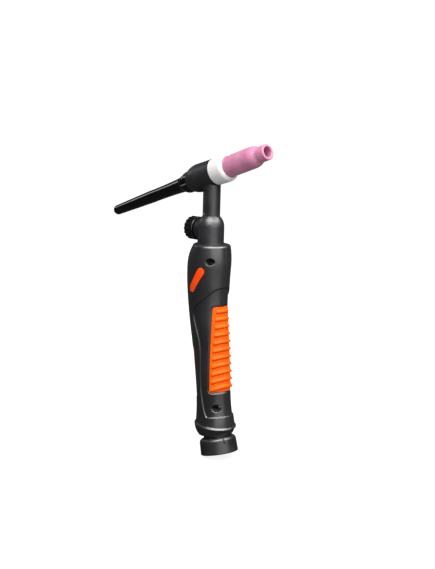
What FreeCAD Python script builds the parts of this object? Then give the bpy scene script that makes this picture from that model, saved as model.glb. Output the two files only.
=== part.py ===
import FreeCAD, Part
import os
from math import atan, cos, degrees, pi, radians, sin, sqrt, tan

from FreeCAD import Placement, Rotation, Vector

# A gas-cooled TIG torch: a ceramic cup and a long back cap on a slanted head, a rubber-covered
# neck with a gas valve, and a two-shell handle that ends in a ball joint for the cable sleeve.
# Sizes are millimetres. The model is built on the neck: the neck's axis is Z, the cup leans
# towards +X, and Z is 0 near the handle's foot. At the end every piece is moved so that the
# origin is the centre of the cable sleeve's mouth in the collar.

# Clearances
RUN = 0.1             # radial gap of a piece that turns or slides in another
SEAT = 0.15           # gap left between end faces of pieces that move apart
JOINT_LINE = 0.15     # gap round a soft pad or an inlay in its pocket

# Handle: height, centre, half depth (front to back) and half width of each cross-section
GRIP_SECTIONS = [
    (133.0, 1.6, 14.0, 13.6),
    (127.0, 1.25, 15.25, 14.6),
    (120.0, -0.1, 17.0, 15.5),
    (110.0, -1.1, 17.35, 15.5),
    (98.0, -1.15, 16.9, 15.05),
    (84.0, -0.5, 16.1, 14.35),
    (70.0, 1.2, 15.55, 13.9),
    (56.0, 3.2, 15.0, 13.4),
    (40.0, 5.2, 14.6, 13.1),
    (24.0, 7.0, 14.3, 12.85),
    (9.0, 8.3, 14.1, 13.1),
    (0.0, 9.1, 14.6, 14.0),
]
GRIP_TOP = 131.2
GRIP_TOP_ROUND = 2.2
WALL = 4.0            # handle wall, before the recesses
CAVITY_LOW = 2.0
RECESS_DEPTH = 0.8
PAD_FLOOR = 2.4       # depth of the pad pockets below the handle's surface
PAD_INSET = 0.5       # depth of a pad's surface below the handle's surface
BADGE_DEPTH = 1.0

# Front recess, seen from the side: (x, z) from its top at the front round the waist to the foot
RECESS_EDGE = [(17.8, 100.6), (14.2, 98.9), (9.6, 93.8), (4.6, 89.4), (-0.7, 84.2), (-2.7, 78.8),
               (-1.3, 72.2), (1.3, 65.4), (3.4, 58.6), (4.5, 50.5), (4.9, 36.5), (5.8, 22.0),
               (7.6, 13.2), (10.0, 6.4), (12.0, 2.6)]
RECESS_CORNER = (13.2, 1.2)
RECESS_LOW_RISE = 1.8  # how much higher the recess ends at the front than at its corner
RECESS_FRONT = 30.0

# Pads and badge, seen from the side
PAD_EDGE = [(12.1, 84.9), (12.35, 55.0), (13.3, 20.2)]
PAD_CORNER = 1.6
PAD_TOP_RISE = 0.8    # how much higher the pad's ends lie at the front than at the edge
PAD_LOW_RISE = 2.8
PAD_BORDER = 1.3      # width and depth of the groove round the pad
PAD_BORDER_DEPTH = 1.3
REAR_PAD_TOP = (-3.3, 52.0)
REAR_PAD_LOW = (-0.2, 14.0)
BADGE_ENDS = [(4.7, 111.9), (-3.8, 98.3)]
BADGE_WIDTH = 5.6

RIB_COUNT = 11
RIB_HIGH = 81.8       # height of the top rib's end
RIB_PITCH = 5.92
RIB_END = 15.3        # distance of the ribs' round ends forward of the neck's axis
RIB_SLOPE = 0.27      # rise of the top rib towards the front, and how much more each next one has
RIB_SLOPE_STEP = 0.02
RIB_HEIGHT = 1.0
RIB_THICK = 1.5
RIB_ROOT = 0.4        # how deep the ribs start inside the pad

# Handle screws: height and distance forward of the neck's axis
SCREW_PLACES = [(10.8, 119.3), (18.2, 8.6)]
SCREW_R = 1.5
SCREW_CORE_R = 1.25
SCREW_HEAD_R = 2.6
SCREW_HEAD_H = 1.8
SCREW_DRIVE = 2.5
DRIVE_DEPTH = 1.1
SCREW_SINK = 5.2      # distance of the head's seat from the parting plane
SCREW_DEPTH = 7.0     # reach of the screw into the far shell
SCREW_BOSS_R = 3.8

# Foot: the round socket and the ball joint
JOINT_CENTRE = Vector(9.6, 0, -4.6)
SOCKET_R = 15.8       # outside of the round socket
SOCKET_TILT = 4.0     # lean of the socket's axis
MOUTH_OUT = 54.3      # half angle of the socket's mouth at its outside and at its inside
MOUTH_IN = 57.5
LIP_CENTRE = Vector(9.8, 0, -6.3)
LIP_R = 16.0          # round lip between the handle and its socket
LIP_TILT = 5.2
LIP_STEP = 0.9        # how far the lip stands out from the handle above it
LIP_HIGH = 1.5
LIP_EDGE = 0.3
LIP_DEEP = 3.0
FOOT_OVAL = 0.02      # how much narrower than deep the handle's edge is
BALL_R = 13.4
BALL_TOP = 6.5        # height of the ball's flat top above its centre
CABLE_BORE_R = 7.2
STUB_R = 10.4
STUB_WAIST_R = 9.8
STUB_FLARE = 1.0      # distance of the neck's full size above the collar's top
COLLAR_TILT = 13.8    # lean of the collar as it hangs in the photograph
COLLAR_TOP = 11.5     # distances below the ball's centre
COLLAR_LOW = 24.1
COLLAR_R = 14.0
COLLAR_FLARE_R = 14.3
COLLAR_SHOULDER = 3.2
COLLAR_EDGE = 0.6
RING_TOP = 14.4       # the stub's snap ring, inside the collar
RING_H = 1.6
RING_R = 12.3
RING_EDGE = 0.5
SLEEVE_BORE_R = 11.9
NOTCH_TURN = -25.8    # where the mark on the collar's shoulder is, in degrees from the front
NOTCH_W = 1.1
NOTCH_FLOOR_R = 12.9
NOTCH_LOW = 17.0

# Neck and valve body
NECK_R = 6.6
SHOULDER_LOW = 143.4
SHOULDER_HIGH = 152.0
VALVE_BODY_R = 10.0
LOCK_HIGH = 122.3     # groove that the handle shells grip
LOCK_LOW = 116.7
LOCK_R = 8.6
INSULATION_LOW = 113.4
NECK_PANEL_W = 4.5
NECK_PANEL_LOW = 152.8
NECK_PANEL_RUN = 14.7  # length of the panel's straight sides
NECK_PANEL_DEPTH = 0.5
BLOCK_R = 7.2
BLOCK_LOW = 118.8
BLOCK_HIGH = 146.6
NECK_TUBE_R = 3.6
GAS_BORE_R = 2.2
TAIL_R = 4.0
TAIL_BORE_R = 2.6
TAIL_LOW = 97.0
TAIL_IN_BLOCK = 6.0
TUBE_IN_BLOCK = 2.0
LOW_PASSAGE_R = 1.6
LOW_PASSAGE_X = -3.9
HIGH_PASSAGE_R = 1.3
HIGH_PASSAGE_X = 0.6
NIPPLE_HEX = 13.0
NIPPLE_HEX_H = 5.0
NIPPLE_R = 4.76
NIPPLE_THREAD = 11.0
NIPPLE_CONE = 2.0
NIPPLE_TIP_R = 3.4

# Gas valve, along -X at VALVE_Z; distances are from the neck's axis
VALVE_Z = 141.4
VALVE_TRAVEL = 2.0
BOSS_R = 8.0
BOSS_END = 11.5
BOSS_EDGE = 0.8
VALVE_BOSS_R = 4.8
VALVE_BORE_R = 2.2
SEAT_AT = 2.4
ORIFICE_R = 0.9
ORIFICE_END = 1.1
STEM_R = 1.5
STEM_END = 18.6
STEM_THREAD = (3.2, 6.1)
STEM_GROOVE = (6.3, 7.5)
STEM_LAND = 7.9
GROOVE_R = 1.1
GLAND_R = 3.4
GLAND_IN = 10.0
GLAND_OUT = 13.0
GLAND_HEX = 7.0
KNOB_START = 12.2
KNOB_END = 21.0
KNOB_R = 8.85
KNOB_EDGE = 0.5
KNOB_DOME = 0.3       # height of the knob's slightly domed end
KNOB_ROUND = 0.9
KNOB_RING = 2.4
KNOB_FLUTES = 16
FLUTE_R = 1.2
FLUTE_OUT = 0.2       # distance of the flutes' centres outside the knob
KNOB_RECESS = 2.8

# Head, along its own axis: distances are from where it crosses the neck, + towards the cup
HEAD_Z = 183.7
HEAD_TILT = 19.1      # rise of the head's axis above level
BARREL_FRONT = 5.4
BARREL_FRONT_R = 10.1
BARREL_FAT = -12.5
BARREL_FAT_R = 10.8
BARREL_REAR = -21.7
BARREL_REAR_R = 8.1
CORE_R = 7.3
CORE_REAR = -19.9
CORE_BORE_R = 5.0
CORE_THREAD_R = 4.76
GALLERY = (-3.0, 3.0)
GALLERY_R = 5.7
RING_POCKET_R = 7.1

NOZZLE_BASE = 10.3
NOZZLE_R = 8.05
NOZZLE_SHOULDER = 42.6
NOZZLE_TIP_START = 50.2
NOZZLE_TIP_R = 5.9
NOZZLE_END = 57.9
NOZZLE_BORE_R = 4.0
NOZZLE_EDGE = 0.4
NOZZLE_BEND = (7.55, 46.2)      # middle of the round shoulder, and where it meets the tip
NOZZLE_BEND_END = (6.2, 49.2)
NOZZLE_FILLET = (6.0, 49.8)
NOZZLE_LIP = (5.65, 57.7)
NOZZLE_LIP_R = 5.0
NOZZLE_LIP_START = 57.1
NOZZLE_BORE_START = 47.0
THREAD_RELIEF = 0.6
NOZZLE_THREAD_R = 5.6
NOZZLE_INSIDE_R = 5.9
NOZZLE_THREAD_END = 21.0
GASKET_FRONT = 19.0
GASKET_R = 10.5
GASKET_ROUND = 3.0

SHANK_REAR = -8.0
FLANGE_R = 6.4
BODY_R = 4.7
BODY_END = 39.5
BODY_BORE_R = 2.75
TAPER_START = 34.0
TAPER_END = 37.4
TIP_HOLE_R = 1.55
GAS_PORT_R = 0.8
GAS_PORTS_AT = 29.0
PORT_COUNT = 4
COLLET_REAR = -10.0
COLLET_FLANGE_R = 3.6
ELECTRODE_R = 1.22
SLOT_W = 0.35
SLOT_FROM = 20.0

CAP_FACE = -22.0
CAP_NOSE_END = -10.15
CAP_NOSE_R = 4.9
CAP_TIP = -111.75     # centre of the cap's round tip
CAP_TIP_R = 3.95
CAP_BORE_R = 1.9
CAP_EDGE = 0.5
CAP_FLUTES = 6
CAP_FLANGE = [(7.9, -22.0), (8.1, -22.3), (8.1, -25.2)]
CAP_NECKING = [((7.6, -27.8), (6.5, -29.8)), ((6.05, -31.2), (5.75, -33.5)),
               ((5.1, -48.0), (4.9, -70.0)), (4.4, -92.0)]
FLUTE_CONE = (2.2, 3.6, 24.0)    # radii and length of the cones that cut the cap's flutes
FLUTE_START = Vector(8.6, 0, -46.0)
FLUTE_RUN = Vector(0.06, 0, 1)
O_RING_R = 0.9
VALVE_O_RING_R = 0.5

UP = Vector(0, 0, 1)


def face_of(start, steps):
    """Closed face in the XZ plane; a step is an end point, or a (via, end) pair for an arc."""
    edges = []
    here = Vector(start[0], 0, start[1])
    for step in list(steps) + [start]:
        if isinstance(step[0], tuple):
            via, end = (Vector(p[0], 0, p[1]) for p in step)
            edges.append(Part.Arc(here, via, end).toShape())
        else:
            end = Vector(step[0], 0, step[1])
            if here.distanceToPoint(end) > 1e-6:
                edges.append(Part.LineSegment(here, end).toShape())
        here = end
    return Part.Face(Part.Wire(edges))


def seam_aside(shape):
    """Turn a round solid about Z so that its seam is off the plane that parts the handle."""
    return shape.rotated(Vector(0, 0, 0), UP, 90)


def turned(start, *steps):
    """Solid of revolution about Z from a profile of (radius, height)."""
    return seam_aside(face_of(start, steps).revolve(Vector(0, 0, 0), UP, 360))


def rod(radius, low, high):
    return seam_aside(Part.makeCylinder(radius, high - low, Vector(0, 0, low)))


def tube(outer, inner, low, high):
    return rod(outer, low, high).cut(rod(inner, low, high))


def hexagon(across, low, high):
    """Hexagonal bar, its size measured across the flats."""
    corner = across / sqrt(3)
    points = [Vector(corner * cos(k * pi / 3), corner * sin(k * pi / 3), low) for k in range(6)]
    return Part.Face(Part.makePolygon(points + points[:1])).extrude(Vector(0, 0, high - low))


def placed(shape, origin, turn):
    """Move a piece built on Z to origin, leaning by turn degrees from Z towards X."""
    moved = shape.copy()
    moved.Placement = Placement(origin, Rotation(Vector(0, 1, 0), turn)).multiply(moved.Placement)
    return moved


def on_head(shape):
    return placed(shape, Vector(0, 0, HEAD_Z), 90 - HEAD_TILT)


def on_valve(shape):
    return placed(shape, Vector(0, 0, VALVE_Z), -90)


def on_foot(shape):
    return placed(shape, JOINT_CENTRE, -SOCKET_TILT)


def on_collar(shape):
    return placed(shape, JOINT_CENTRE, -COLLAR_TILT)


def side_prism(edges, low_y=-40.0, high_y=40.0):
    """Prism along Y over a closed side-view outline made of edges in the XZ plane."""
    face = Part.Face(Part.Wire(edges))
    face.translate(Vector(0, low_y, 0))
    return face.extrude(Vector(0, high_y - low_y, 0))


def side_points(points):
    return [Vector(x, 0, z) for x, z in points]


def side_lines(points):
    corners = side_points(points)
    return [Part.LineSegment(a, b).toShape() for a, b in zip(corners, corners[1:])]


def grip_lean(index):
    """Lean of the handle's centre line at a cross-section, in degrees from Z towards X."""
    low = GRIP_SECTIONS[min(index + 1, len(GRIP_SECTIONS) - 1)]
    high = GRIP_SECTIONS[max(index - 1, 0)]
    return degrees(atan((high[1] - low[1]) / (high[0] - low[0])))


def section(depth, width, centre, lean, near_half):
    """Oval cross-section, or its near half closed along the parting plane."""
    oval = Part.Ellipse(Vector(0, 0, 0), depth, width)
    edges = [Part.ArcOfEllipse(oval, pi, 2 * pi).toShape()]
    if near_half:
        edges.append(Part.LineSegment(Vector(depth, 0, 0), Vector(-depth, 0, 0)).toShape())
    else:
        edges.append(Part.ArcOfEllipse(oval, 0, pi).toShape())
    return placed(Part.Wire(edges), centre, lean)


def grip(inset, near_half=False):
    """Handle body inside its surface by inset, from its foot to above its top."""
    wires = [section(depth - inset, width - inset, Vector(centre, 0, height), grip_lean(index),
                     near_half)
             for index, (height, centre, depth, width) in enumerate(GRIP_SECTIONS)]
    foot_r = LIP_R - LIP_STEP - inset
    wires.append(section(foot_r, foot_r - FOOT_OVAL, LIP_CENTRE, LIP_TILT, near_half))
    return Part.makeLoft(wires, True, False)


def near_side(shape):
    return shape.common(Part.makeBox(100, 50, 200, Vector(-50, -50, -40)))


def both_sides(near):
    """A near half and its mirror image as one solid."""
    return near.fuse(near.mirror(Vector(0, 0, 0), Vector(0, 1, 0))).removeSplitter()


def grip_cut(prism, inset):
    """Tool that lowers the handle's surface to inset inside a side-view outline."""
    return prism.cut(grip(inset))


def recess_prism():
    curve = Part.BSplineCurve()
    curve.interpolate(side_points(RECESS_EDGE))
    closing = side_lines([RECESS_EDGE[-1], RECESS_CORNER,
                          (RECESS_FRONT, RECESS_CORNER[1] + RECESS_LOW_RISE),
                          (RECESS_FRONT, RECESS_EDGE[0][1]), RECESS_EDGE[0]])
    return side_prism([curve.toShape()] + closing)


def front_pad_prism(grow):
    """Side-view outline of the front pad, grown by a gap, with its left corners rounded."""
    top, waist, low = [(x - grow, z) for x, z in PAD_EDGE]
    top = (top[0], top[1] + grow)
    low = (low[0], low[1] - grow)
    high_front = (RECESS_FRONT, top[1] + PAD_TOP_RISE)
    low_front = (RECESS_FRONT, low[1] + PAD_LOW_RISE)
    left = Part.Arc(*side_points([low, waist, top])).toShape()
    prism = side_prism([left] + side_lines([top, high_front, low_front, low]))
    corners = [e for e in prism.Edges if abs(e.tangentAt(e.FirstParameter).y) > 0.99]
    corners = [e for e in corners if e.CenterOfMass.x < RECESS_FRONT - 1]
    return prism.makeFillet(PAD_CORNER + grow, corners)


def rear_pad_prism(grow):
    (top_x, top_z), (low_x, low_z) = REAR_PAD_TOP, REAR_PAD_LOW
    back = -RECESS_FRONT
    outline = [(back, top_z + grow), (top_x + grow, top_z + grow), (low_x + grow, low_z - grow),
               (back, low_z - grow)]
    prism = side_prism(side_lines(outline + outline[:1]))
    corners = [e for e in prism.Edges if abs(e.tangentAt(e.FirstParameter).y) > 0.99]
    corners = [e for e in corners if e.CenterOfMass.x > back + 1]
    return prism.makeFillet(PAD_CORNER, corners)


def badge_prism(grow):
    """Capsule on the near side of the handle."""
    a, b = side_points(BADGE_ENDS)
    along = (b - a).normalize()
    side = along.cross(Vector(0, 1, 0)) * (BADGE_WIDTH / 2 + grow)
    cap = along * (BADGE_WIDTH / 2 + grow)
    edges = [Part.LineSegment(a + side, b + side).toShape(),
             Part.Arc(b + side, b + cap, b - side).toShape(),
             Part.LineSegment(b - side, a - side).toShape(),
             Part.Arc(a - side, a - cap, a + side).toShape()]
    return side_prism(edges, -40.0, 0.0)


def socket_bowl():
    """Outside of the ball's socket, below the foot's lip."""
    ball = placed(seam_aside(Part.makeSphere(SOCKET_R)), JOINT_CENTRE, 0)
    below = Part.makeBox(80, 80, 40, Vector(-40, -40, -40))
    return ball.common(placed(below, LIP_CENTRE, LIP_TILT))


def foot_lip():
    """Round lip that stands proud of the handle's lower edge."""
    inner = LIP_R - LIP_DEEP
    ring = turned((inner, LIP_HIGH), (LIP_R - LIP_HIGH, LIP_HIGH), (LIP_R - LIP_EDGE, LIP_EDGE * 2),
                  (LIP_R, LIP_EDGE), (LIP_R, -LIP_EDGE), (inner, -LIP_HIGH))
    return placed(seam_aside(ring), LIP_CENTRE, LIP_TILT)


def outer_handle():
    """Outside of the near half of the handle with its recess and pockets, before it is hollowed."""
    body = grip(0.0, near_half=True)
    body = body.cut(Part.makeBox(80, 80, 20, Vector(-40, -40, GRIP_TOP)))
    rim = [e for e in body.Edges if e.BoundBox.ZMin > GRIP_TOP - 0.01 and e.BoundBox.YMin < -1]
    body = body.makeFillet(GRIP_TOP_ROUND, rim)
    body = body.fuse([near_side(socket_bowl()), near_side(foot_lip())])
    body = body.cut(grip_cut(recess_prism(), RECESS_DEPTH))
    body = body.cut(grip_cut(front_pad_prism(PAD_BORDER), PAD_BORDER_DEPTH))
    body = body.cut(grip_cut(front_pad_prism(JOINT_LINE), PAD_FLOOR))
    return body.cut(grip_cut(rear_pad_prism(JOINT_LINE), PAD_FLOOR))


def socket_mouth():
    """Funnel through the socket's wall that leaves room for the ball's neck to tilt."""
    outside = Vector(sin(radians(MOUTH_OUT)), 0, -cos(radians(MOUTH_OUT))) * SOCKET_R
    inside = Vector(sin(radians(MOUTH_IN)), 0, -cos(radians(MOUTH_IN))) * BALL_R
    slope = outside - inside
    low, high = outside + slope * 4, inside - slope
    return turned((0, high.z), (high.x, high.z), (low.x, low.z), (0, low.z))


def near_shell():
    """Near half: bored for the neck, hollow, with a ball socket in its foot."""
    body = outer_handle()
    cavity = grip(WALL).common(Part.makeBox(80, 80, LOCK_LOW - CAVITY_LOW,
                                            Vector(-40, -40, CAVITY_LOW)))
    (lower_x, lower_z) = SCREW_PLACES[1]
    boss = Part.makeCylinder(SCREW_BOSS_R, 40, Vector(lower_x, -20, lower_z), Vector(0, 1, 0))
    body = body.cut(cavity.cut(boss))
    body = body.cut(placed(seam_aside(Part.makeSphere(BALL_R + SEAT)), JOINT_CENTRE, 0))
    body = body.cut(on_foot(socket_mouth()))
    body = body.cut(rod(VALVE_BODY_R, LOCK_HIGH, GRIP_TOP + 1))
    return body.cut(rod(LOCK_R, LOCK_LOW - 1, LOCK_HIGH + 1))


def across(radius, x, z, low_y, high_y):
    """Cylinder along Y."""
    return Part.makeCylinder(radius, high_y - low_y, Vector(x, low_y, z), Vector(0, 1, 0))


def handle_shells():
    near = near_shell()
    right = near.mirror(Vector(0, 0, 0), Vector(0, 1, 0))
    left = near.cut(grip_cut(badge_prism(JOINT_LINE), BADGE_DEPTH))
    for x, z in SCREW_PLACES:
        left = left.cut(across(SCREW_HEAD_R + RUN, x, z, -40, -SCREW_SINK))
        left = left.cut(across(SCREW_R, x, z, -SCREW_SINK - 1, 1))
        right = right.cut(across(SCREW_CORE_R, x, z, -1, SCREW_DEPTH + 0.5))
    return left, right


def handle_screws():
    screws = []
    for x, z in SCREW_PLACES:
        top = -SCREW_SINK - SCREW_HEAD_H
        head = across(SCREW_HEAD_R, x, z, top, -SCREW_SINK)
        drive = hexagon(SCREW_DRIVE, -1, DRIVE_DEPTH)
        drive.rotate(Vector(0, 0, 0), Vector(1, 0, 0), -90)
        drive.translate(Vector(x, top, z))
        shank = across(SCREW_R, x, z, -SCREW_SINK, 0)
        core = across(SCREW_CORE_R, x, z, 0, SCREW_DEPTH)
        screws.append(head.cut(drive).fuse([shank, core]))
    return Part.makeCompound(screws)


def rib_bar(index):
    """Side-view outline of one rib: a bar with a round end that rises to the front."""
    start = Vector(RIB_END, 0, RIB_HIGH - index * RIB_PITCH)
    along = Vector(1, 0, RIB_SLOPE + index * RIB_SLOPE_STEP).normalize()
    half = RIB_THICK / 2
    side = along.cross(Vector(0, 1, 0)) * half
    end = start + along * RECESS_FRONT
    return side_prism([Part.LineSegment(start + side, end + side).toShape(),
                       Part.LineSegment(end + side, end - side).toShape(),
                       Part.LineSegment(end - side, start - side).toShape(),
                       Part.Arc(start - side, start - along * half, start + side).toShape()])


def front_grip_pad():
    near = front_pad_prism(0.0).common(grip(PAD_INSET, near_half=True)).cut(grip(PAD_FLOOR))
    layer = grip(PAD_INSET - RIB_HEIGHT, near_half=True).cut(grip(PAD_INSET + RIB_ROOT))
    ribs = Part.makeCompound([rib_bar(index) for index in range(RIB_COUNT)])
    return both_sides(near.fuse(ribs.common(layer)))


def rear_grip_pad():
    near = rear_pad_prism(0.0).common(grip(PAD_INSET / 2, near_half=True))
    return both_sides(near.cut(grip(PAD_FLOOR)))


def badge_inlay():
    return badge_prism(0.0).common(grip(0.0)).cut(grip(BADGE_DEPTH))


def ball_stub():
    """Hollow ball, waist and neck, with a snap ring that the collar turns on."""
    waist = sqrt(BALL_R ** 2 - STUB_WAIST_R ** 2)
    top_r = sqrt(BALL_R ** 2 - BALL_TOP ** 2)
    low = RING_TOP + RING_H
    solid = turned((CABLE_BORE_R, BALL_TOP), (top_r, BALL_TOP), ((BALL_R, 0), (STUB_WAIST_R, -waist)),
                   (STUB_R, -COLLAR_TOP + STUB_FLARE), (STUB_R, -RING_TOP), (RING_R, -RING_TOP),
                   (RING_R, -low + RING_EDGE), (RING_R - RING_EDGE, -low), (CABLE_BORE_R, -low))
    return on_collar(solid)


def sleeve_collar():
    low = -COLLAR_LOW
    ring_low = -RING_TOP - RING_H - SEAT
    edge = COLLAR_SHOULDER * (1 - sin(pi / 4))
    solid = turned((STUB_R + RUN, -COLLAR_TOP), (COLLAR_R - COLLAR_SHOULDER, -COLLAR_TOP),
                   ((COLLAR_R - edge, -COLLAR_TOP - edge),
                    (COLLAR_R, -COLLAR_TOP - COLLAR_SHOULDER)),
                   (COLLAR_FLARE_R, low + COLLAR_EDGE), (COLLAR_FLARE_R - COLLAR_EDGE, low),
                   (SLEEVE_BORE_R, low), (SLEEVE_BORE_R, ring_low), (RING_R + RUN, ring_low),
                   (RING_R + RUN, -RING_TOP + SEAT), (STUB_R + RUN, -RING_TOP + SEAT))
    notch = Part.makeBox(COLLAR_R, NOTCH_W, NOTCH_LOW - COLLAR_TOP + 1,
                         Vector(NOTCH_FLOOR_R, -NOTCH_W / 2, -NOTCH_LOW))
    notch.rotate(Vector(0, 0, 0), UP, NOTCH_TURN)
    return on_collar(solid.cut(notch))


def neck_cover():
    """Outside of the neck and valve body, from the locking flange up to the head."""
    body = turned((0, INSULATION_LOW), (VALVE_BODY_R, INSULATION_LOW), (VALVE_BODY_R, LOCK_LOW),
                  (LOCK_R, LOCK_LOW), (LOCK_R, LOCK_HIGH), (VALVE_BODY_R, LOCK_HIGH),
                  (VALVE_BODY_R, SHOULDER_LOW),
                  ((VALVE_BODY_R - 0.75, SHOULDER_LOW + 4.6), (NECK_R, SHOULDER_HIGH)),
                  (NECK_R, HEAD_Z), (0, HEAD_Z))
    half = NECK_PANEL_W / 2
    low = NECK_PANEL_LOW + half
    slot = Part.makeBox(NECK_PANEL_W, 2 * NECK_R, NECK_PANEL_RUN, Vector(-half, -NECK_R, low))
    for z in (low, low + NECK_PANEL_RUN):
        slot = slot.fuse(across(half, 0, z, -NECK_R, NECK_R))
    floor = rod(NECK_R - NECK_PANEL_DEPTH, low - NECK_PANEL_W, low + NECK_PANEL_RUN + NECK_PANEL_W)
    return body.cut(slot.cut(floor))


def barrel():
    mid = (BARREL_FAT + BARREL_REAR) / 2
    return on_head(turned((0, BARREL_FRONT), (BARREL_FRONT_R, BARREL_FRONT),
                          (BARREL_FAT_R, BARREL_FAT),
                          ((BARREL_FAT_R - 0.75, mid), (BARREL_REAR_R, BARREL_REAR)),
                          (0, BARREL_REAR)))


def head_core():
    """Metal body of the head: threaded at both ends, with a gallery for the gas."""
    core = tube(CORE_R, CORE_BORE_R, CORE_REAR, SHANK_REAR)
    core = core.fuse(tube(CORE_R, CORE_THREAD_R, SHANK_REAR, BARREL_FRONT))
    core = on_head(core.cut(rod(GALLERY_R, *GALLERY)))
    return core.cut(rod(NECK_TUBE_R, HEAD_Z - 20, HEAD_Z))


def neck_tube():
    top = on_head(rod(GALLERY_R, -20, 20))
    return tube(NECK_TUBE_R, GAS_BORE_R, BLOCK_HIGH - TUBE_IN_BLOCK, HEAD_Z).cut(top)


def valve_block():
    """Metal block with the tail socket below, the valve bore across and the neck tube above."""
    block = rod(BLOCK_R, BLOCK_LOW, BLOCK_HIGH).fuse(on_valve(rod(VALVE_BOSS_R, 0, BOSS_END)))
    low_end = BLOCK_LOW + TAIL_IN_BLOCK
    seat = turned((0, SEAT_AT + 0.1), (VALVE_BORE_R, SEAT_AT + 0.1), (ORIFICE_R, ORIFICE_END),
                  (0, ORIFICE_END))
    cuts = [rod(TAIL_R, BLOCK_LOW - 1, low_end),
            rod(NECK_TUBE_R, BLOCK_HIGH - TUBE_IN_BLOCK, BLOCK_HIGH + 1),
            on_valve(rod(GLAND_R, GLAND_IN, BOSS_END + 1)),
            on_valve(rod(VALVE_BORE_R, SEAT_AT, GLAND_IN + 0.5)), on_valve(seat),
            on_valve(rod(ORIFICE_R, -LOW_PASSAGE_R, ORIFICE_END + 1)),
            Part.makeCylinder(LOW_PASSAGE_R, VALVE_Z - low_end + 1,
                              Vector(LOW_PASSAGE_X, 0, low_end - 1)),
            Part.makeCylinder(HIGH_PASSAGE_R, BLOCK_HIGH - VALVE_Z,
                              Vector(HIGH_PASSAGE_X, 0, VALVE_Z))]
    return block.cut(cuts)


def tail_tube():
    return tube(TAIL_R, TAIL_BORE_R, TAIL_LOW, BLOCK_LOW + TAIL_IN_BLOCK)


def power_nipple():
    """Fitting that the power cable's nut screws on, with a coned end."""
    body = hexagon(NIPPLE_HEX, TAIL_LOW - NIPPLE_HEX_H, TAIL_LOW + 1.5)
    low = TAIL_LOW - NIPPLE_HEX_H - NIPPLE_THREAD
    body = body.fuse(turned((0, low), (NIPPLE_TIP_R, low), (NIPPLE_R, low + NIPPLE_CONE),
                            (NIPPLE_R, TAIL_LOW), (0, TAIL_LOW)))
    return body.cut([rod(TAIL_BORE_R, low - 1, TAIL_LOW + 2), rod(TAIL_R, TAIL_LOW, TAIL_LOW + 2)])


def head_insulation():
    """Rubber moulding round the metal parts, which are taken out of it at their exact size."""
    boss = turned((0, 0), (BOSS_R, 0), (BOSS_R, BOSS_END - BOSS_EDGE), (BOSS_R - BOSS_EDGE, BOSS_END),
                  (0, BOSS_END))
    body = neck_cover().fuse([barrel(), on_valve(boss)])
    hollow = rod(CORE_R, CORE_REAR, BARREL_FRONT + 1)
    hollow = hollow.fuse(rod(RING_POCKET_R, BARREL_REAR - 1, CORE_REAR + 1))
    body = body.cut(on_head(hollow))
    fill = [rod(BLOCK_R, BLOCK_LOW, BLOCK_HIGH), on_valve(rod(VALVE_BOSS_R, 0, BOSS_END + 1)),
            rod(NECK_TUBE_R, BLOCK_HIGH - 1, HEAD_Z), rod(TAIL_R, INSULATION_LOW - 1, BLOCK_LOW + 1)]
    return body.cut(fill)


def valve_stem():
    """Needle, thread, groove for the ring, and the shank that carries the knob."""
    start, end = STEM_THREAD
    ring_in, ring_out = STEM_GROOVE
    thread_r = VALVE_BORE_R - RUN
    return on_valve(turned((0, start - 1.7), (0.35, start - 1.7), (1.3, start), (thread_r, start),
                           (thread_r, ring_in), (GROOVE_R, ring_in), (GROOVE_R, ring_out),
                           (thread_r, ring_out), (thread_r, STEM_LAND), (STEM_R, STEM_LAND),
                           (STEM_R, STEM_END), (0, STEM_END)))


def valve_o_ring():
    middle = sum(STEM_GROOVE) / 2
    ring = Part.makeTorus(GROOVE_R + 0.05 + VALVE_O_RING_R, VALVE_O_RING_R, Vector(0, 0, middle))
    return on_valve(ring)


def valve_gland():
    body = rod(GLAND_R, GLAND_IN, BOSS_END).fuse(hexagon(GLAND_HEX, BOSS_END, GLAND_OUT))
    return on_valve(body.cut(rod(STEM_R + RUN, GLAND_IN - 1, GLAND_OUT + 1)))


def valve_knob():
    """Fluted knob with a plain ring next to the boss and a domed end."""
    low, high = KNOB_START, KNOB_END
    recess_r = GLAND_HEX / sqrt(3) + 0.6
    rim = high - KNOB_DOME
    bend = KNOB_ROUND * (1 - sin(pi / 4))
    knob = turned((recess_r, low), (KNOB_R - KNOB_EDGE, low), (KNOB_R, low + KNOB_EDGE),
                  (KNOB_R, rim - KNOB_ROUND),
                  ((KNOB_R - bend, rim - bend), (KNOB_R - KNOB_ROUND, rim)), (0, high),
                  (0, low + KNOB_RECESS), (recess_r, low + KNOB_RECESS))
    knob = knob.cut(rod(STEM_R, low, STEM_END))
    away = KNOB_R + FLUTE_OUT
    flutes = []
    for k in range(KNOB_FLUTES):
        angle = 2 * pi * (k + 0.5) / KNOB_FLUTES
        middle = Vector(away * cos(angle), away * sin(angle), low + KNOB_RING)
        flutes.append(Part.makeCylinder(FLUTE_R, high, middle))
    return on_valve(knob.cut(flutes))


def cup_gasket():
    rim = GASKET_R - GASKET_ROUND * (1 - sin(pi / 4))
    back = NOZZLE_BASE - SEAT
    return on_head(turned((FLANGE_R, BARREL_FRONT), (BARREL_FRONT_R, BARREL_FRONT), (GASKET_R, 12.0),
                          (GASKET_R, GASKET_FRONT - GASKET_ROUND),
                          ((rim, GASKET_FRONT - GASKET_ROUND + GASKET_ROUND * sin(pi / 4)),
                           (NOZZLE_R + 0.35, GASKET_FRONT)),
                          (NOZZLE_R + 0.05, GASKET_FRONT - 0.3), (NOZZLE_R + 0.05, back), (FLANGE_R, back)))


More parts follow.
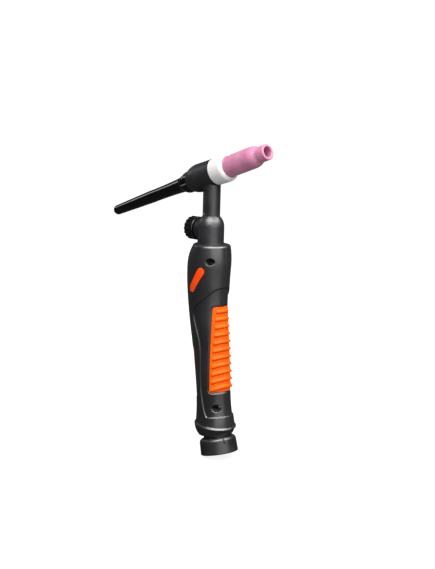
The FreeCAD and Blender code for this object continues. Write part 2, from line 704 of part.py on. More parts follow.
def nozzle():
    """Ceramic cup: straight body, round shoulder, narrow tip, threaded inside its base."""
    return on_head(turned((NOZZLE_THREAD_R, NOZZLE_BASE), (NOZZLE_R - NOZZLE_EDGE, NOZZLE_BASE),
                          (NOZZLE_R, NOZZLE_BASE + NOZZLE_EDGE), (NOZZLE_R, NOZZLE_SHOULDER),
                          (NOZZLE_BEND, NOZZLE_BEND_END),
                          (NOZZLE_FILLET, (NOZZLE_TIP_R, NOZZLE_TIP_START + THREAD_RELIEF)),
                          (NOZZLE_TIP_R, NOZZLE_LIP_START), (NOZZLE_LIP, (NOZZLE_LIP_R, NOZZLE_END)),
                          (NOZZLE_BORE_R + NOZZLE_EDGE, NOZZLE_END),
                          (NOZZLE_BORE_R, NOZZLE_END - NOZZLE_EDGE),
                          (NOZZLE_BORE_R, NOZZLE_BORE_START),
                          (NOZZLE_INSIDE_R, NOZZLE_SHOULDER - THREAD_RELIEF),
                          (NOZZLE_INSIDE_R, NOZZLE_THREAD_END + THREAD_RELIEF),
                          (NOZZLE_THREAD_R, NOZZLE_THREAD_END)))


def collet_body():
    """Threaded copper carrier of the cup and the collet, with ports for the gas."""
    body = turned((BODY_BORE_R, SHANK_REAR), (CORE_THREAD_R, SHANK_REAR), (CORE_THREAD_R, BARREL_FRONT),
                  (FLANGE_R, BARREL_FRONT), (FLANGE_R, NOZZLE_BASE), (NOZZLE_THREAD_R, NOZZLE_BASE),
                  (NOZZLE_THREAD_R, NOZZLE_THREAD_END - 0.6), (BODY_R, NOZZLE_THREAD_END),
                  (BODY_R, BODY_END - 3), (BODY_R - 1.2, BODY_END), (TIP_HOLE_R, BODY_END),
                  (TIP_HOLE_R, TAPER_END), (BODY_BORE_R, TAPER_START))
    for at in (GAS_PORTS_AT, 0.0):
        for k in range(PORT_COUNT // 2):
            angle = pi * (k + 0.5) / (PORT_COUNT // 2)
            way = Vector(cos(angle), sin(angle), 0)
            start = Vector(0, 0, at) - way * 8
            body = body.cut(Part.makeCylinder(GAS_PORT_R, 16, start, way))
    return on_head(body)


def collet():
    """Split copper tube that the cap pushes into the taper to grip the electrode."""
    outer = BODY_BORE_R - RUN
    gap = 2 * RUN
    body = turned((ELECTRODE_R, COLLET_REAR), (COLLET_FLANGE_R, COLLET_REAR),
                  (COLLET_FLANGE_R, SHANK_REAR - SEAT), (outer, SHANK_REAR - SEAT), (outer, TAPER_START - gap),
                  (TIP_HOLE_R, TAPER_END - 2 * gap), (ELECTRODE_R, TAPER_END - 2 * gap))
    for turn in (0, 90):
        slot = Part.makeBox(10, SLOT_W, 30, Vector(-5, -SLOT_W / 2, SLOT_FROM))
        slot.rotate(Vector(0, 0, 0), UP, turn)
        body = body.cut(slot)
    return on_head(body)


def back_cap():
    """Long cap: fluted grip, slim tapering barrel, round tip and a threaded hollow nose."""
    slant = cos(pi / 4) * CAP_TIP_R
    cap = turned((0, CAP_NOSE_END), (CAP_NOSE_R - CAP_EDGE, CAP_NOSE_END),
                 (CAP_NOSE_R, CAP_NOSE_END - CAP_EDGE), (CAP_NOSE_R, CAP_FACE), *CAP_FLANGE,
                 *CAP_NECKING, (CAP_TIP_R, CAP_TIP),
                 ((slant, CAP_TIP - slant), (0, CAP_TIP - CAP_TIP_R)))
    for k in range(CAP_FLUTES):
        flute = Part.makeCone(*FLUTE_CONE, FLUTE_START, FLUTE_RUN)
        flute.rotate(Vector(0, 0, 0), UP, 360 * (k + 0.5) / CAP_FLUTES)
        cap = cap.cut(flute)
    return on_head(cap.cut(rod(CAP_BORE_R, CAP_TIP, CAP_NOSE_END + 1)))


def cap_o_ring():
    middle = (CAP_FACE + CORE_REAR) / 2
    return on_head(Part.makeTorus(CAP_NOSE_R + 0.05 + O_RING_R, O_RING_R, Vector(0, 0, middle)))


def build():
    left, right = handle_shells()
    pieces = {
        "handle_shell_left": left,
        "handle_shell_right": right,
        "handle_screws": handle_screws(),
        "front_grip_pad": front_grip_pad(),
        "rear_grip_pad": rear_grip_pad(),
        "badge_inlay": badge_inlay(),
        "ball_stub": ball_stub(),
        "sleeve_collar": sleeve_collar(),
        "head_insulation": head_insulation(),
        "head_core": head_core(),
        "neck_tube": neck_tube(),
        "valve_block": valve_block(),
        "tail_tube": tail_tube(),
        "power_nipple": power_nipple(),
        "valve_stem": valve_stem(),
        "valve_o_ring": valve_o_ring(),
        "valve_gland": valve_gland(),
        "valve_knob": valve_knob(),
        "cup_gasket": cup_gasket(),
        "nozzle": nozzle(),
        "collet_body": collet_body(),
        "collet": collet(),
        "back_cap": back_cap(),
        "cap_o_ring": cap_o_ring(),
    }
    mouth = placed(Part.Vertex(0, 0, -COLLAR_LOW), JOINT_CENTRE, -COLLAR_TILT).Point
    os.makedirs("parts", exist_ok=True)
    for name, shape in pieces.items():
        shape.translate(-mouth)
        kind = "ok" if shape.isValid() else "NOT VALID"
        print(f"{name}: {len(shape.Solids)} solids, {shape.Volume:.1f} mm3, {kind}")
        shape.exportStep(f"parts/{name}.step")


build()
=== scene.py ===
from math import cos, radians, sin

import bpy
import numpy as np
from mathutils import Matrix, Vector


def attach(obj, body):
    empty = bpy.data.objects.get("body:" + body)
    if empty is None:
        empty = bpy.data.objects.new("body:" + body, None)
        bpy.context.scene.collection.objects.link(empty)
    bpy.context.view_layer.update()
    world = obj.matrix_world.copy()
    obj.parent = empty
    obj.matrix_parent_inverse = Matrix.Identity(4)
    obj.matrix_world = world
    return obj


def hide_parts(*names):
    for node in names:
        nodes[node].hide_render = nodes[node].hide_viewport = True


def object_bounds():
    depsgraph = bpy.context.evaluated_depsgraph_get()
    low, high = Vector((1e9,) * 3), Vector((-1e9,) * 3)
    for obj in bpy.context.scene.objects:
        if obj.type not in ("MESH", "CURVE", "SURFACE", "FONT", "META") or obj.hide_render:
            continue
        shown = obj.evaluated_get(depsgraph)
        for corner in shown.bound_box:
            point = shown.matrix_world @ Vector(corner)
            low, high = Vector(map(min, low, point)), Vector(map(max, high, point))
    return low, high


# A gas-cooled TIG torch, dressed round its CAD model. The file follows the torch as it is put
# together: handle, head and neck, gas valve, cup, back cap, and the ball joint for the cable.

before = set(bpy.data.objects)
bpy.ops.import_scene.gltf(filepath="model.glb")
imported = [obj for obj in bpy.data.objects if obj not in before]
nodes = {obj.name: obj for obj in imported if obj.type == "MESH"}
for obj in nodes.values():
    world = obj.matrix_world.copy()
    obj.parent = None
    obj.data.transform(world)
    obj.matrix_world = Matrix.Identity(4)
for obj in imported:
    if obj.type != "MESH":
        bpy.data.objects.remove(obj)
cad_low, cad_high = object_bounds()


# Camera
# A long lens a little above the torch looks down on the near side of the handle, from the side
# that the cup points to.
CAMERA_AZIMUTH = radians(44.21)
CAMERA_PITCH = radians(9.6)
CAMERA_ROLL = radians(1.51)
CAMERA_DISTANCE = 0.86776
CAMERA_TARGET = Vector((-0.01535, 0, 0.12800))
CAMERA_SIDE_STEP = 0.00598
LENS = 72.76
SENSOR = 36.0
NEAREST, FARTHEST = 0.01, 100.0

level_right = Vector((cos(CAMERA_AZIMUTH), sin(CAMERA_AZIMUTH), 0))
level_back = Vector((sin(CAMERA_AZIMUTH), -cos(CAMERA_AZIMUTH), 0))
back = cos(CAMERA_PITCH) * level_back + sin(CAMERA_PITCH) * Vector((0, 0, 1))
plain_up = cos(CAMERA_PITCH) * Vector((0, 0, 1)) - sin(CAMERA_PITCH) * level_back
right = cos(CAMERA_ROLL) * level_right + sin(CAMERA_ROLL) * plain_up
up = cos(CAMERA_ROLL) * plain_up - sin(CAMERA_ROLL) * level_right

camera = bpy.data.objects.new("camera", bpy.data.cameras.new("camera"))
camera.data.lens = LENS
camera.data.sensor_width = SENSOR
camera.data.clip_start, camera.data.clip_end = NEAREST, FARTHEST
camera.matrix_world = Matrix((right, up, back)).transposed().to_4x4()
camera.location = CAMERA_TARGET + back * CAMERA_DISTANCE + right * CAMERA_SIDE_STEP
bpy.context.scene.collection.objects.link(camera)
bpy.context.scene.camera = camera
bpy.context.scene.view_settings.view_transform = "Standard"


# Studio
# A pale floor under the collar and a white backdrop all round. A wide soft box stands in front, a
# little to the right, a wider one hangs above, and a small one behind on the left draws a line of
# light along the back cap. The rest of the room is dim, so the left side falls dark.
FLOOR_HALF = 8.0
FLOOR_COLOUR = "#7f7f7f"
FLOOR_MIRRORED = "#2a2a2a"          # the floor's own colour as it shows in a shiny surface
FLOOR_GLOW = 0.88                   # how white the floor shows near the collar, under its shadow
SHADOW_ZONE = 0.10                  # distance from the origin up to which the floor shows so
SHADOW_ZONE_END = 0.45              # distance from which it is fully white
MIRRORED_FRONT = 0.01               # how much of the white shows in a shiny surface: in front of the
MIRRORED_BACK = 0.08                # torch, and behind it
FLOOR_BACK = 1.0                    # how far behind the torch MIRRORED_BACK is reached on the floor
BACKDROP_BACK = 0.8                 # and on the backdrop, as a part of a direction of length 1
ROOM_LIGHT = 0.30                   # strength of the room's light, which reaches only matt surfaces
ROOM_COLOUR = "#eef0f4"
# Each lamp's place is how far to the right of, in front of and above the torch it is, in metres
FRONT_PLACE = (0.50, 0.95, 0.30)
FRONT_SIZE = (1.3, 0.9)
FRONT_POWER = 4.5
TOP_PLACE = (0.20, 0.45, 0.88)
TOP_SIZE = (2.0, 0.75)
TOP_POWER = 31.0
EDGE_PLACE = (-0.78, -0.48, 0.41)
EDGE_SIZE = (0.2, 0.2)
EDGE_POWER = 0.35


def linear(colour):
    """Linear colour of an sRGB hex value: a channel up to 0.04045 is divided by 12.92, and a larger
    one has 0.055 added, is divided by 1.055 and is raised to the power 2.4."""
    values = np.array([int(colour[k:k + 2], 16) for k in (1, 3, 5)]) / 255
    values = np.where(values <= 0.04045, values / 12.92, ((values + 0.055) / 1.055) ** 2.4)
    return (*values, 1.0)


def add_node(tree, kind, inputs, **settings):
    """Adds a node to a tree. settings are its own properties, and inputs gives each socket, by name
    or number, its value or the output that feeds it."""
    node = tree.nodes.new(kind)
    for name, value in settings.items():
        setattr(node, name, value)
    for name, value in inputs.items():
        if isinstance(value, bpy.types.NodeSocket):
            tree.links.new(value, node.inputs[name])
        else:
            node.inputs[name].default_value = value
    return node


def empty_material(name):
    """A material with no nodes yet, and its tree."""
    material = bpy.data.materials.new(name)
    material.use_nodes = True
    material.node_tree.nodes.clear()
    return material, material.node_tree


def white_seen(tree, ray, place, back_at):
    """How white a ray sees the floor or the backdrop at a place: 1 for the camera and through clear
    things, and 0 for a matt surface. For a shiny one it goes from MIRRORED_FRONT at the torch to
    MIRRORED_BACK where the place is back_at behind it."""
    behind = add_node(tree, "ShaderNodeVectorMath", {0: place, 1: -level_back}, operation="DOT_PRODUCT")
    share = add_node(tree, "ShaderNodeMapRange", {"Value": behind.outputs["Value"], "From Max": back_at,
                                                  "To Min": MIRRORED_FRONT, "To Max": MIRRORED_BACK})
    mirrored = add_node(tree, "ShaderNodeMath", {0: ray["Is Glossy Ray"], 1: share.outputs["Result"]},
                        operation="MULTIPLY")
    direct = add_node(tree, "ShaderNodeMath", {0: ray["Is Camera Ray"], 1: ray["Is Transmission Ray"]},
                      operation="MAXIMUM")
    seen = add_node(tree, "ShaderNodeMath", {0: direct.outputs[0], 1: mirrored.outputs[0]},
                    operation="MAXIMUM")
    return seen.outputs[0]


corners = [(x * FLOOR_HALF, y * FLOOR_HALF, cad_low.z) for x, y in ((-1, -1), (1, -1), (1, 1), (-1, 1))]
floor_mesh = bpy.data.meshes.new("floor")
floor_mesh.from_pydata(corners, [], [(0, 1, 2, 3)])
floor = bpy.data.objects.new("floor", floor_mesh)
bpy.context.scene.collection.objects.link(floor)
floor_paint, tree = empty_material("matt_white_floor")
ray = add_node(tree, "ShaderNodeLightPath", {}).outputs
place = add_node(tree, "ShaderNodeTexCoord", {}).outputs["Object"]
away = add_node(tree, "ShaderNodeVectorMath", {0: place}, operation="LENGTH")
zone = add_node(tree, "ShaderNodeMapRange", {"Value": away.outputs["Value"], "From Min": SHADOW_ZONE,
                                             "From Max": SHADOW_ZONE_END, "To Min": FLOOR_GLOW})
glow = add_node(tree, "ShaderNodeMath", {0: white_seen(tree, ray, place, FLOOR_BACK),
                                         1: zone.outputs["Result"]}, operation="MULTIPLY")
white = add_node(tree, "ShaderNodeEmission", {"Strength": glow.outputs[0]})
paint = add_node(tree, "ShaderNodeMix", {0: ray["Is Glossy Ray"], 6: linear(FLOOR_COLOUR),
                                         7: linear(FLOOR_MIRRORED)}, data_type="RGBA")
matt = add_node(tree, "ShaderNodeBsdfDiffuse", {"Color": paint.outputs[2]})
both = add_node(tree, "ShaderNodeAddShader", {0: white.outputs[0], 1: matt.outputs[0]})
add_node(tree, "ShaderNodeOutputMaterial", {"Surface": both.outputs[0]})
floor_mesh.materials.append(floor_paint)

world = bpy.data.worlds.new("room")
world.use_nodes = True
world.node_tree.nodes.clear()
tree = world.node_tree
ray = add_node(tree, "ShaderNodeLightPath", {}).outputs
sky = add_node(tree, "ShaderNodeTexCoord", {}).outputs["Generated"]
dim = add_node(tree, "ShaderNodeMath", {0: ray["Is Diffuse Ray"], 1: ROOM_LIGHT}, operation="MULTIPLY")
room = add_node(tree, "ShaderNodeBackground", {"Color": linear(ROOM_COLOUR), "Strength": dim.outputs[0]})
white = add_node(tree, "ShaderNodeBackground", {"Color": linear("#ffffff")})
both = add_node(tree, "ShaderNodeMixShader", {0: white_seen(tree, ray, sky, BACKDROP_BACK),
                                              1: room.outputs[0], 2: white.outputs[0]})
add_node(tree, "ShaderNodeOutputWorld", {"Surface": both.outputs[0]})
bpy.context.scene.world = world


def soft_lamp(name, place, size, power):
    """Area lamp at a place to the right of, in front of and above the torch's middle, aimed at it."""
    lamp = bpy.data.objects.new(name, bpy.data.lights.new(name, "AREA"))
    lamp.data.shape = "RECTANGLE"
    lamp.data.size, lamp.data.size_y = size
    lamp.data.energy = power
    middle = (cad_low + cad_high) / 2
    way = place[0] * level_right + place[1] * level_back + place[2] * Vector((0, 0, 1))
    lamp.location = middle + way
    lamp.rotation_mode = "QUATERNION"
    lamp.rotation_quaternion = (-way).to_track_quat("-Z", "Y")
    bpy.context.scene.collection.objects.link(lamp)


soft_lamp("front_lamp", FRONT_PLACE, FRONT_SIZE, FRONT_POWER)
soft_lamp("top_lamp", TOP_PLACE, TOP_SIZE, TOP_POWER)
soft_lamp("edge_lamp", EDGE_PLACE, EDGE_SIZE, EDGE_POWER)


# Handle shells
# Two halves moulded in black glass-filled nylon, parted on the plane of the head and the neck and
# held by two screws. The tool is spark-eroded, which gives the plastic a fine grain and a soft sheen.
NYLON_LIGHT = "#1a171b"
NYLON_DARK = "#151216"
NOISE_BLOB = 600.0          # size in millimetres of the blobs of a noise pattern of scale 1
CLOUD_DETAIL = 3.0
CLOUD_LOW = 0.35            # values of the noise that give the dark and the light colour
CLOUD_HIGH = 0.65
GRAIN_DETAIL = 2.0
DULL_SPREAD = 0.1           # how far the roughness drifts with the colour
EDGE_SAMPLES = 6


def dress(piece, material):
    """Gives a CAD node or a new piece one material on every slot."""
    slots = piece.data.materials
    if len(slots) == 0:
        slots.append(material)
    for index in range(len(slots)):
        slots[index] = material


def moulded(name, dark, light, cloud, grain, depth, edge, roughness, shine):
    """Finish of a moulded piece, with sizes in millimetres. The colour drifts from dark to light in
    clouds of the size cloud, and the roughness drifts with it. The surface has a grain of the size
    grain and the height depth, and its edges look rounded by the radius edge. The index of
    refraction is the one that mirrors the share shine of the light that falls on it squarely."""
    material, tree = empty_material(name)
    place = add_node(tree, "ShaderNodeTexCoord", {}).outputs["Object"]
    clouds = add_node(tree, "ShaderNodeTexNoise", {"Vector": place, "Scale": NOISE_BLOB / cloud,
                                                   "Detail": CLOUD_DETAIL})
    drift = add_node(tree, "ShaderNodeMapRange", {"Value": clouds.outputs[0], "From Min": CLOUD_LOW,
                                                  "From Max": CLOUD_HIGH})
    colour = add_node(tree, "ShaderNodeMix", {0: drift.outputs["Result"], 6: linear(dark),
                                              7: linear(light)}, data_type="RGBA")
    dull = add_node(tree, "ShaderNodeMapRange", {"Value": drift.outputs["Result"],
                                                 "To Min": roughness * (1 - DULL_SPREAD),
                                                 "To Max": roughness * (1 + DULL_SPREAD)})
    rounded = add_node(tree, "ShaderNodeBevel", {"Radius": edge / 1000}, samples=EDGE_SAMPLES)
    grains = add_node(tree, "ShaderNodeTexNoise", {"Vector": place, "Scale": NOISE_BLOB / grain,
                                                   "Detail": GRAIN_DETAIL})
    relief = add_node(tree, "ShaderNodeBump", {"Height": grains.outputs[0], "Distance": depth / 1000,
                                               "Normal": rounded.outputs[0]})
    surface = add_node(tree, "ShaderNodeBsdfPrincipled",
                       {"Base Color": colour.outputs[2], "Roughness": dull.outputs["Result"],
                        "IOR": (1 + shine ** 0.5) / (1 - shine ** 0.5), "Normal": relief.outputs[0]})
    add_node(tree, "ShaderNodeOutputMaterial", {"Surface": surface.outputs[0]})
    return material


# The real grain is about 0.2 mm. It is drawn coarser so that it shows, as it is on the other pieces.
nylon = moulded("spark_eroded_glass_filled_nylon", NYLON_DARK, NYLON_LIGHT, cloud=18, grain=0.6,
                depth=0.03, edge=1.0, roughness=0.36, shine=0.16)
for name in ("handle_shell_left", "handle_shell_right"):
    dress(nodes[name], nylon)


# Handle screws
# Two socket screws of blackened steel, sunk deep in the near shell. The oxide gives them a dull,
# slightly stained dark grey.
OXIDE_LIGHT = "#6b686d"
OXIDE_DARK = "#4a484c"
OXIDE_STAIN = 0.8
OXIDE_ROUGHNESS = 0.42

oxide, tree = empty_material("blackened_steel")
place = add_node(tree, "ShaderNodeTexCoord", {}).outputs["Object"]
stain = add_node(tree, "ShaderNodeTexNoise", {"Vector": place, "Scale": NOISE_BLOB / OXIDE_STAIN})
colour = add_node(tree, "ShaderNodeMix", {0: stain.outputs[0], 6: linear(OXIDE_DARK),
                                          7: linear(OXIDE_LIGHT)}, data_type="RGBA")
surface = add_node(tree, "ShaderNodeBsdfPrincipled", {"Base Color": colour.outputs[2], "Metallic": 1.0,
                                                      "Roughness": OXIDE_ROUGHNESS})
add_node(tree, "ShaderNodeOutputMaterial", {"Surface": surface.outputs[0]})
dress(nodes["handle_screws"], oxide)


# Grip pads
# Soft thermoplastic rubber, moulded orange and glued into pockets. It is satin, with a fine grain.
# The front pad has eleven raised ribs with round ends, which rise a little towards the front. Its
# sizes are in millimetres from the neck's axis and from the height of the handle's foot.
RUBBER_LIGHT = "#ff6300"
RUBBER_DARK = "#fb5700"
NECK_TO_CAD = (-15.349, 0, 28.004)      # where the axis is at that height in the CAD model
# Cross-sections of the handle: height, centre, half depth and half width
GRIP = np.array([(0.0, 9.1, 14.6, 14.0), (9.0, 8.3, 14.1, 13.1), (24.0, 7.0, 14.3, 12.85),
                 (40.0, 5.2, 14.6, 13.1), (56.0, 3.2, 15.0, 13.4), (70.0, 1.2, 15.55, 13.9),
                 (84.0, -0.5, 16.1, 14.35), (98.0, -1.15, 16.9, 15.05), (110.0, -1.1, 17.35, 15.5)])
ROW_START = 14.6                    # a row's height is taken this far forward of the neck's axis
PAD_LOW, PAD_HIGH = 20.42, 85.0     # heights of the pad's first and last row
# Heights on the pad, and the slopes of the rows there
PAD_SLOPES = ((PAD_LOW, 21.4, 83.2, PAD_HIGH), (0.168, 0.46, 0.27, 0.045))
# How far forward of the axis its side edge lies: a parabola through the values at three heights
PAD_EDGE = np.polyfit((20.2, 55.0, 84.9), (13.3, 12.35, 12.1), 2)
PAD_CORNER = 1.6                    # radius of its corners
PAD_ROUND = 0.45                    # radius at which its border turns down
PAD_INSET = 0.5                     # depth of its face below the handle's surface
PAD_FLOOR = 2.2                     # and of its back
# Rows of points lie closer at both ends, and columns closer at the side edges, for the round border.
# A column's place is its share of the way from the side edge to the front.
ROW_STEP = 0.28
ROW_ENDS = np.array([0, 0.05, 0.12, 0.22, 0.35, 0.5])
ROW_EVEN = 0.7                      # distance from each end at which the even rows start
COLUMNS = np.concatenate(([0, 0.003, 0.008, 0.016, 0.027, 0.04], np.linspace(0.055, 1, 70)))
FIT_ROUNDS = 12
RIB_COUNT = 11
RIB_HIGH = 81.8                     # height of the top rib
RIB_PITCH = 5.92
RIB_MARGINS = ((22.6, 81.8), (1.0, 2.8))    # heights, and the bare strip there between edge and ribs
RIB_END = 1.2                       # length of a rib's round end
# Across a rib: distance above its middle line, and height there
RIB_ACROSS = (-2.3, -1.9, -1.35, -0.9, -0.6, 0.1, 0.7, 1.3, 1.9)
RIB_RISE = (0, -0.5, -0.75, 0.8, 1.15, 1.1, 0.75, 0.2, 0)


def along_grip(column, height):
    """Value of a column of the table at a height: a cubic between rows, whose slope at each row is
    that of the line between its neighbours."""
    at = GRIP[:, 0]
    slopes = np.gradient(column, at)
    slopes[1:-1] = (column[2:] - column[:-2]) / (at[2:] - at[:-2])
    row = np.clip(np.searchsorted(at, height) - 1, 0, len(at) - 2)
    span = at[row + 1] - at[row]
    t = (height - at[row]) / span
    return ((1 + 2 * t) * (1 - t) ** 2 * column[row] + t * (1 - t) ** 2 * span * slopes[row]
            + t ** 2 * (3 - 2 * t) * column[row + 1] + t ** 2 * (t - 1) * span * slopes[row + 1])


def grip_point(height, angle, inset):
    """Point of the handle's surface lowered by inset: on an ellipse round the handle's centre, at an
    angle from the front. The ellipse leans with the centre line, whose slope is its run over the
    millimetre round that height."""
    centre = GRIP[:, 1]
    run = along_grip(centre, height + 0.5) - along_grip(centre, height - 0.5)
    lean = np.arctan(run)
    depth = (along_grip(GRIP[:, 2], height) - inset) * np.cos(angle)
    width = (along_grip(GRIP[:, 3], height) - inset) * np.sin(angle)
    return np.stack((along_grip(centre, height) + depth * np.cos(lean), width,
                     height - depth * np.sin(lean)), axis=-1)


def closed_slab(name, outside, inside):
    """A closed piece between two grids of points of the same shape, in millimetres from the neck's
    axis and the handle's foot. Both grids are joined round their border."""
    rows, columns = outside.shape[:2]
    index = np.arange(rows * columns).reshape(rows, columns)
    quads = np.stack((index[:-1, :-1], index[:-1, 1:], index[1:, 1:], index[1:, :-1]), axis=-1)
    border = np.concatenate((index[0, :-1], index[:-1, -1], index[-1, :0:-1], index[:0:-1, 0]))
    onward = np.roll(border, -1)
    inner = rows * columns
    rim = np.stack((onward, border, border + inner, onward + inner), axis=-1)
    faces = np.concatenate((quads.reshape(-1, 4), quads.reshape(-1, 4)[:, ::-1] + inner, rim))
    points = np.concatenate((outside.reshape(-1, 3), inside.reshape(-1, 3))) + NECK_TO_CAD
    mesh = bpy.data.meshes.new(name)
    mesh.from_pydata((points / 1000).tolist(), [], faces.tolist())
    mesh.polygons.foreach_set("use_smooth", np.ones(len(faces), dtype=bool))
    piece = bpy.data.objects.new(name, mesh)
    bpy.context.scene.collection.objects.link(piece)
    return piece


def pad_grid(rows, slope, edge):
    """Heights and angles of the pad's points. In the side view each row lies on a line of its own
    slope, and it runs from the near edge round the front to the far edge. The angle of the edge is
    the one whose cosine is the edge's share of the way from the centre to the front. Each round
    moves the points along the handle by what they are off the row's line."""
    turn = np.concatenate((COLUMNS - 1, 1 - COLUMNS[-2::-1]))[None, :]
    height = rows + 0 * turn
    for _ in range(FIT_ROUNDS):
        side = height[:, :1]
        front = grip_point(side, 0 * side, PAD_INSET)[..., 0]
        middle = along_grip(GRIP[:, 1], side)
        widest = np.arccos(np.clip((edge - middle) / (front - middle), -1, 1))
        point = grip_point(height, widest * turn, PAD_INSET)
        height = height - (point[..., 2] - rows - slope * (point[..., 0] - ROW_START))
    return height, widest * turn


def rib_rise(rows, slope, run):
    """How far the ribs lift each point of the pad, run from its side edge. Near a rib's middle line
    it is what RIB_RISE says: a gentle slope above, and a steep face with a narrow groove below. It
    fades by a quarter circle over the last RIB_END before the rib's tip."""
    ribs = RIB_HIGH - RIB_PITCH * np.arange(RIB_COUNT)
    above = rows - ribs[None, :]
    nearest = np.argmin(np.abs(above), axis=1)[:, None]
    above = np.take_along_axis(above, nearest, axis=1) / np.sqrt(1 + slope ** 2)
    short = np.clip(np.interp(rows, *RIB_MARGINS) + RIB_END - run, 0, RIB_END) / RIB_END
    return np.interp(above, RIB_ACROSS, RIB_RISE) * np.sqrt(1 - short ** 2)


def ribbed_pad():
    """The front pad: the handle's surface lowered by PAD_INSET, between rows of points from PAD_LOW
    to PAD_HIGH and a side edge with round corners, lifted by the ribs. At its border it turns down
    by a quarter circle of radius PAD_ROUND."""
    even = np.arange(PAD_LOW + ROW_EVEN, PAD_HIGH - ROW_EVEN, ROW_STEP)
    rows = np.concatenate((PAD_LOW + ROW_ENDS, even, PAD_HIGH - ROW_ENDS[::-1]))[:, None]
    slope = np.interp(rows, *PAD_SLOPES)
    to_end = np.minimum(rows - PAD_LOW, PAD_HIGH - rows)
    corner = np.clip(PAD_CORNER - to_end, 0, PAD_CORNER)
    edge = np.polyval(PAD_EDGE, rows) + PAD_CORNER - np.sqrt(PAD_CORNER ** 2 - corner ** 2)
    height, angle = pad_grid(rows, slope, edge)
    steps = np.linalg.norm(np.diff(grip_point(height, angle, PAD_INSET), axis=1), axis=2)
    run = np.concatenate((np.zeros_like(rows), np.cumsum(steps, axis=1)), axis=1)
    run = np.minimum(run, run[:, -1:] - run)
    border = np.clip(PAD_ROUND - np.minimum(run, to_end), 0, PAD_ROUND)
    fall = PAD_ROUND - np.sqrt(PAD_ROUND ** 2 - border ** 2)
    outside = grip_point(height, angle, PAD_INSET - rib_rise(rows, slope, run) + fall)
    return closed_slab("ribbed_front_pad", outside, grip_point(height, angle, PAD_FLOOR))


orange_rubber = moulded("moulded_orange_rubber", RUBBER_DARK, RUBBER_LIGHT, cloud=7, grain=0.5,
                        depth=0.02, edge=0.3, roughness=0.42, shine=0.012)
front_pad = ribbed_pad()
dress(front_pad, orange_rubber)
dress(nodes["front_grip_pad"], orange_rubber)
dress(nodes["rear_grip_pad"], orange_rubber)
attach(front_pad, "handle")
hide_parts("front_grip_pad")


# Badge
# A capsule of orange ABS pressed into the near shell. Its face is bare, and smooth from the mould,
# so it is a little glossier than the pads.
ABS_LIGHT = "#fa4b00"
ABS_DARK = "#f24300"

orange_abs = moulded("moulded_orange_abs", ABS_DARK, ABS_LIGHT, cloud=4, grain=0.6, depth=0.01,
                     edge=0.2, roughness=0.38, shine=0.03)
dress(nodes["badge_inlay"], orange_abs)


# Head and neck cover
# One moulding of black silicone rubber round the head, the neck and the valve body. It insulates
# the live metal. The rubber is satin and slightly uneven.
SILICONE_LIGHT = "#211e22"
SILICONE_DARK = "#19161a"

silicone = moulded("moulded_black_silicone_rubber", SILICONE_DARK, SILICONE_LIGHT, cloud=6, grain=0.7,
                   depth=0.04, edge=0.5, roughness=0.40, shine=0.12)
dress(nodes["head_insulation"], silicone)


# Metal inside the head, neck and handle
# Brass pieces are turned, and copper ones are drawn tube. They carry the current and the gas. Brass
# has the lathe's fine marks, drawn as level bands on every piece, copper is plain, and both are a
# little tarnished. Hardly any of it is seen once the torch is together.
BRASS_LIGHT = "#d9b765"
BRASS_DARK = "#b58f45"
BRASS_ROUGHNESS = 0.30
COPPER_LIGHT = "#d98e6c"
COPPER_DARK = "#b06a4c"
COPPER_ROUGHNESS = 0.28
TARNISH = 4.0
TOOL_MARKS = 0.4            # the real feed is about 0.1 mm a turn, drawn coarser so that it shows
TOOL_MARK_DEPTH = 0.03
TOOL_MARK_STRENGTH = 0.25
TOOL_MARK_WAVER = 0.6
WAVE_STEP = 300.0           # distance in millimetres between the bands of a wave pattern of scale 1


def tarnished(name, dark, light):
    """A metal's material, its tree, its place output and a colour that drifts from dark to light."""
    material, tree = empty_material(name)
    place = add_node(tree, "ShaderNodeTexCoord", {}).outputs["Object"]
    tarnish = add_node(tree, "ShaderNodeTexNoise", {"Vector": place, "Scale": NOISE_BLOB / TARNISH})
    colour = add_node(tree, "ShaderNodeMix", {0: tarnish.outputs[0], 6: linear(dark), 7: linear(light)},
                      data_type="RGBA")
    return material, tree, place, colour.outputs[2]


brass, tree, place, colour = tarnished("turned_brass", BRASS_DARK, BRASS_LIGHT)
marks = add_node(tree, "ShaderNodeTexWave", {"Vector": place, "Scale": WAVE_STEP / TOOL_MARKS,
                                             "Distortion": TOOL_MARK_WAVER}, bands_direction="Z")
relief = add_node(tree, "ShaderNodeBump", {"Height": marks.outputs["Color"],
                                           "Distance": TOOL_MARK_DEPTH / 1000,
                                           "Strength": TOOL_MARK_STRENGTH})
surface = add_node(tree, "ShaderNodeBsdfPrincipled",
                   {"Base Color": colour, "Metallic": 1.0, "Roughness": BRASS_ROUGHNESS,
                    "Normal": relief.outputs[0]})
add_node(tree, "ShaderNodeOutputMaterial", {"Surface": surface.outputs[0]})
for name in ("head_core", "valve_block", "power_nipple", "valve_gland", "valve_stem"):
    dress(nodes[name], brass)

copper, tree, place, colour = tarnished("drawn_copper", COPPER_DARK, COPPER_LIGHT)
surface = add_node(tree, "ShaderNodeBsdfPrincipled",
                   {"Base Color": colour, "Metallic": 1.0, "Roughness": COPPER_ROUGHNESS})
add_node(tree, "ShaderNodeOutputMaterial", {"Surface": surface.outputs[0]})
for name in ("neck_tube", "tail_tube", "collet_body", "collet"):
    dress(nodes[name], copper)


# Seals
# O-rings of black nitrile rubber, moulded smooth, so they have a soft dull shine: one on the valve
# stem and one under the cap.
NITRILE_LIGHT = "#242326"
NITRILE_DARK = "#18171a"

nitrile = moulded("moulded_nitrile_rubber", NITRILE_DARK, NITRILE_LIGHT, cloud=2, grain=0.6,
                  depth=0.01, edge=0.1, roughness=0.42, shine=0.03)
for name in ("cap_o_ring", "valve_o_ring"):
    dress(nodes[name], nitrile)


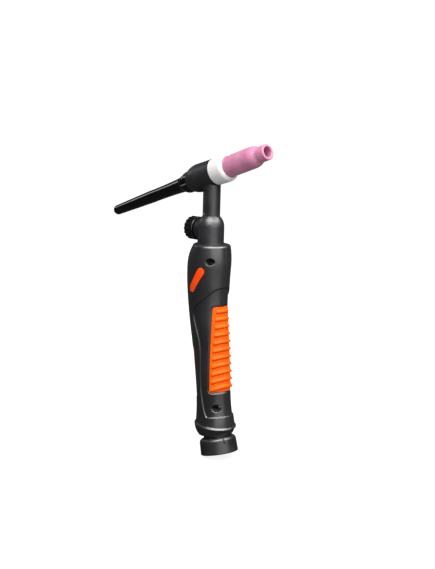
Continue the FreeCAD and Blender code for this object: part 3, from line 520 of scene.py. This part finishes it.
# Valve knob
# A fluted knob moulded in black nylon, pressed on the stem of the gas valve. The tool is polished,
# so the knob is glossier than the handle.
KNOB_LIGHT = "#17161a"
KNOB_DARK = "#100f12"

knob_nylon = moulded("polished_black_nylon", KNOB_DARK, KNOB_LIGHT, cloud=3, grain=0.8, depth=0.01,
                     edge=0.3, roughness=0.28, shine=0.05)
dress(nodes["valve_knob"], knob_nylon)


# Gasket
# A ring of white PTFE between the head and the cup, turned from bar. It is waxy, with a soft even
# shine.
PTFE_LIGHT = "#e9e7e5"
PTFE_DARK = "#e0dedb"

ptfe = moulded("turned_white_ptfe", PTFE_DARK, PTFE_LIGHT, cloud=4, grain=0.8, depth=0.01,
               edge=0.3, roughness=0.36, shine=0.03)
dress(nodes["cup_gasket"], ptfe)


# Cup
# Pink alumina, pressed and fired, and screwed on the collet body. It is unglazed, smooth and
# slightly speckled.
ALUMINA_LIGHT = "#c984a1"
ALUMINA_DARK = "#c07998"

alumina = moulded("fired_pink_alumina", ALUMINA_DARK, ALUMINA_LIGHT, cloud=4, grain=0.7, depth=0.02,
                  edge=0.3, roughness=0.42, shine=0.03)
dress(nodes["nozzle"], alumina)


# Back cap
# Long cap with flutes at its thick end, moulded in black phenolic resin and polished to a gloss. It
# screws into the head.
PHENOLIC_LIGHT = "#09080b"
PHENOLIC_DARK = "#060508"

phenolic = moulded("polished_black_phenolic", PHENOLIC_DARK, PHENOLIC_LIGHT, cloud=8, grain=0.8,
                   depth=0.005, edge=0.3, roughness=0.14, shine=0.06)
dress(nodes["back_cap"], phenolic)


# Ball and collar
# The ball and the collar of the cable joint are moulded in smooth black nylon with a satin shine.
# The ball snaps into the foot of the handle, and the collar turns on the ball's neck.
JOINT_LIGHT = "#201d21"
JOINT_DARK = "#181519"

joint_nylon = moulded("smooth_black_nylon", JOINT_DARK, JOINT_LIGHT, cloud=5, grain=0.6, depth=0.02,
                      edge=0.4, roughness=0.38, shine=0.10)
for name in ("ball_stub", "sleeve_collar"):
    dress(nodes[name], joint_nylon)
